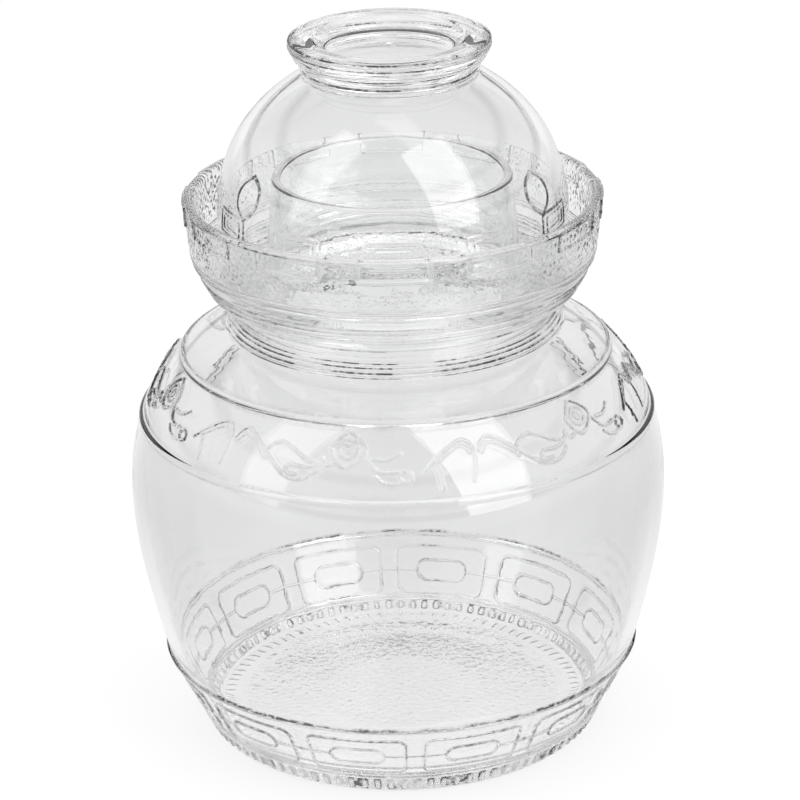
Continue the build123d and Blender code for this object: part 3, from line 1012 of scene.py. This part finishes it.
# The three pieces are one kind of clear glass. The body's darker shade than the collar and lid,
# and its lighter foot and shoulder, are painted light and shade, set to how bright each part
# looks.
body_glass = clear_glass(
    "clear_glass_body",
    low=0.86,
    high=0.89,
    painted_light_tones=((0.925, 0.055, 0.012), (0.965, 0.011, 0.005), (0.94, 0.108, 0.13)),
    skin=(0.006, 0.0105, 0.0, 0.058, 420.0, 1.0),
)
collar_glass = clear_glass(
    "clear_glass_collar", low=0.955, high=0.975, skin=(0.186, 0.203, 0.0, 0.08, 520.0, 0.07)
)
lid_glass = clear_glass("clear_glass_lid", low=0.95, high=0.97)
seam_material = fused_seam()

body_piece = body_wall.mesh("jar_body_glass", [body_glass, seam_material])
collar_piece = collar_wall.mesh("moat_collar_glass", [collar_glass, seam_material], closed=True)
lid_piece = lid_wall.mesh("lid_glass", [lid_glass])
for piece, body, node in (
    (body_piece, "jar", "jar_body"),
    (collar_piece, "jar", "moat_collar"),
    (lid_piece, "lid", "lid"),
):
    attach(piece, body)
    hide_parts(node)


# Floor, world, lamps and camera

FLOOR_REACH = 12.0
FLOOR_DROP = 0.0003
FLOOR_SHADE, FLOOR_GLOW = 0.9, 0.8
# How much darker the floor is painted where it is seen through the glass: a ring round
# the jar, streaks that run out from it, and its sides far off and, in reflections,
# near by. These stand in for the dark parts of a studio.
RING, STREAK, FAR_SIDES, NEAR_SIDES = 0.15, 0.05, 0.7, 0.25
# Where each of them starts and is full, in metres from the axis, and where the ring
# starts to end and is gone
RING_START, RING_END = (0.55, 1.0), (1.9, 2.4)
STREAK_START = (0.0, 0.25)
FAR_START, NEAR_START = (0.45, 0.9), (0.1, 0.3)
STREAK_COUNT, SIDE_POWER = 8.0, 3.0
# The sky's level by height. Its dark bands stand for the dark parts of a studio, which
# give clear glass its edges. They show only in and through the glass.
SKY = (
    (0.0, 0.95), (0.08, 0.92), (0.11, 0.02), (0.145, 0.02), (0.17, 0.88),
    (0.46, 0.88), (0.5, 0.15), (0.56, 0.15), (0.59, 0.88),
)
ROOM_LIGHT = 0.8
DIRECT_RAYS = ("Camera", "Glossy", "Transmission")


def floor_material():
    """White card. Seen through the glass and in reflections it glows instead of being lit,
    so it shows no shadow of the jar and is even near it; further out it has painted
    greyer streaks and grey sides, which stand for the dark parts of a studio."""
    material = bpy.data.materials.new("pale_floor")
    graph = Graph(material)
    math, ramp = graph.math, graph.ramp
    card = graph.add("BsdfDiffuse", {"Color": grey(FLOOR_SHADE)}).outputs[0]
    glow = graph.add("Emission", {"Strength": 1.0}).outputs[0]
    place = graph.add("NewGeometry", {}).outputs["Position"]
    x, y, _ = graph.add("SeparateXYZ", {"Vector": place}).outputs
    reach = graph.distance(x, y)
    ring = math("MULTIPLY", ramp(reach, *RING_START), ramp(reach, *RING_END, 1.0, 0.0))
    turn = math("COSINE", math("MULTIPLY", math("ARCTAN2", y, x), STREAK_COUNT))
    streak = math("MULTIPLY", math("ADD", 1.0, turn), ramp(reach, *STREAK_START))
    side = math("POWER", math("ABSOLUTE", math("DIVIDE", x, reach)), SIDE_POWER)
    far = ramp(reach, *FAR_START, 0.0, FAR_SIDES)
    near = ramp(reach, *NEAR_START, 0.0, NEAR_SIDES)
    nearer = math("MULTIPLY", graph.rays("Glossy"), math("SUBTRACT", near, far))
    side = math("MULTIPLY", side, math("ADD", far, nearer))
    level = math("SUBTRACT", 1.0, math("MULTIPLY", ring, RING))
    level = math("MULTIPLY", level, math("SUBTRACT", 1.0, math("MULTIPLY", streak, STREAK)))
    level = math("MULTIPLY", level, math("SUBTRACT", 1.0, side))
    # Painted light and shade: the glow seen in the glass, with no shadow and darker painted parts
    in_glass = graph.add("Emission", {"Strength": level}).outputs[0]
    seen = graph.mix(graph.rays("Camera"), card, graph.mix(FLOOR_GLOW, card, glow))
    seen = graph.mix(graph.rays("Transmission", "Glossy"), seen, in_glass)
    graph.finish("Material", seen)
    return material


floor_mesh = bpy.data.meshes.new("floor")
floor_mesh.from_pydata(
    [(x * FLOOR_REACH, y * FLOOR_REACH, 0) for x, y in ((-1, -1), (1, -1), (1, 1), (-1, 1))],
    [],
    [(0, 1, 2, 3)],
)
floor_mesh.materials.append(floor_material())
floor = bpy.data.objects.new("floor", floor_mesh)
floor.location.z = -FLOOR_DROP
bpy.context.scene.collection.objects.link(floor)

world = bpy.data.worlds.new("studio")
bpy.context.scene.world = world
graph = Graph(world)
place = graph.add("TexCoord", {}).outputs["Generated"]
height = graph.add("SeparateXYZ", {"Vector": place}).outputs["Z"]
sky = graph.add("ValToRGB", {"Fac": height})
# A new ramp has a stop at 0, which takes the first level, and a white one at 1
stops = sky.color_ramp.elements
stops[0].color = grey(SKY[0][1])
for position, level in SKY[1:]:
    stops.new(position).color = grey(level)
shown = graph.blend(graph.rays("Camera"), sky.outputs["Color"], grey(1.0))
room = graph.add("Background", {"Color": grey(1.0), "Strength": ROOM_LIGHT}).outputs[0]
white = graph.add("Background", {"Color": shown, "Strength": 1.0}).outputs[0]
graph.finish("World", graph.mix(graph.rays(*DIRECT_RAYS), room, white))

# Lamps: name, place, width, height, watts, seen in the glass
LAMPS = (
    ("softbox_left", (-0.93, -0.52, 0.95), 0.52, 1.7, 4.4, True),
    ("softbox_right", (0.76, -0.82, 0.95), 0.78, 1.7, 11.0, True),
    ("softbox_above", (0.0, 0.1, 1.7), 1.2, 1.2, 9.0, False),
    ("softbox_top", (0.14, -0.15, 1.5), 0.3, 0.7, 0.6, True),
    ("softbox_back", (0.0, 1.0, 1.05), 0.9, 0.3, 0.6, True),
)
LAMP_AIM = Vector((0, 0, 0.13))

for name, place, width, height, watts, mirrored in LAMPS:
    lamp = bpy.data.lights.new(name, "AREA")
    lamp.shape = "RECTANGLE"
    lamp.size, lamp.size_y = width, height
    lamp.energy = watts
    box = bpy.data.objects.new(name, lamp)
    bpy.context.scene.collection.objects.link(box)
    box.location = place
    box.visible_glossy = box.visible_transmission = mirrored
    aim = LAMP_AIM - Vector(place)
    box.rotation_euler = aim.to_track_quat("-Z", "Y").to_euler()

CAMERA_PLACE = (0, -1.32805, 0.65938)
CAMERA_LENS, SENSOR = 175.83, 36.0
PITCH, ROLL, YAW = radians(21.958), radians(-1.148), radians(0.053)

camera_data = bpy.data.cameras.new("camera")
camera_data.lens = CAMERA_LENS
camera_data.sensor_width = SENSOR
camera = bpy.data.objects.new("camera", camera_data)
bpy.context.scene.collection.objects.link(camera)
ahead = Vector((sin(YAW) * cos(PITCH), cos(YAW) * cos(PITCH), -sin(PITCH)))
level = ahead.cross(Vector((0, 0, 1))).normalized()
upright = level.cross(ahead)
right = cos(ROLL) * level + sin(ROLL) * upright
up = -sin(ROLL) * level + cos(ROLL) * upright
turned = Matrix((right, up, -ahead)).transposed().to_4x4()
camera.matrix_world = Matrix.Translation(CAMERA_PLACE) @ turned

scene = bpy.context.scene
scene.camera = camera
scene.view_settings.view_transform = "Standard"
scene.cycles.max_bounces = 28
scene.cycles.transmission_bounces = 28
scene.cycles.glossy_bounces = 12
scene.cycles.transparent_max_bounces = 24
scene.cycles.caustics_reflective = False
scene.cycles.caustics_refractive = False

bpy.context.view_layer.update()
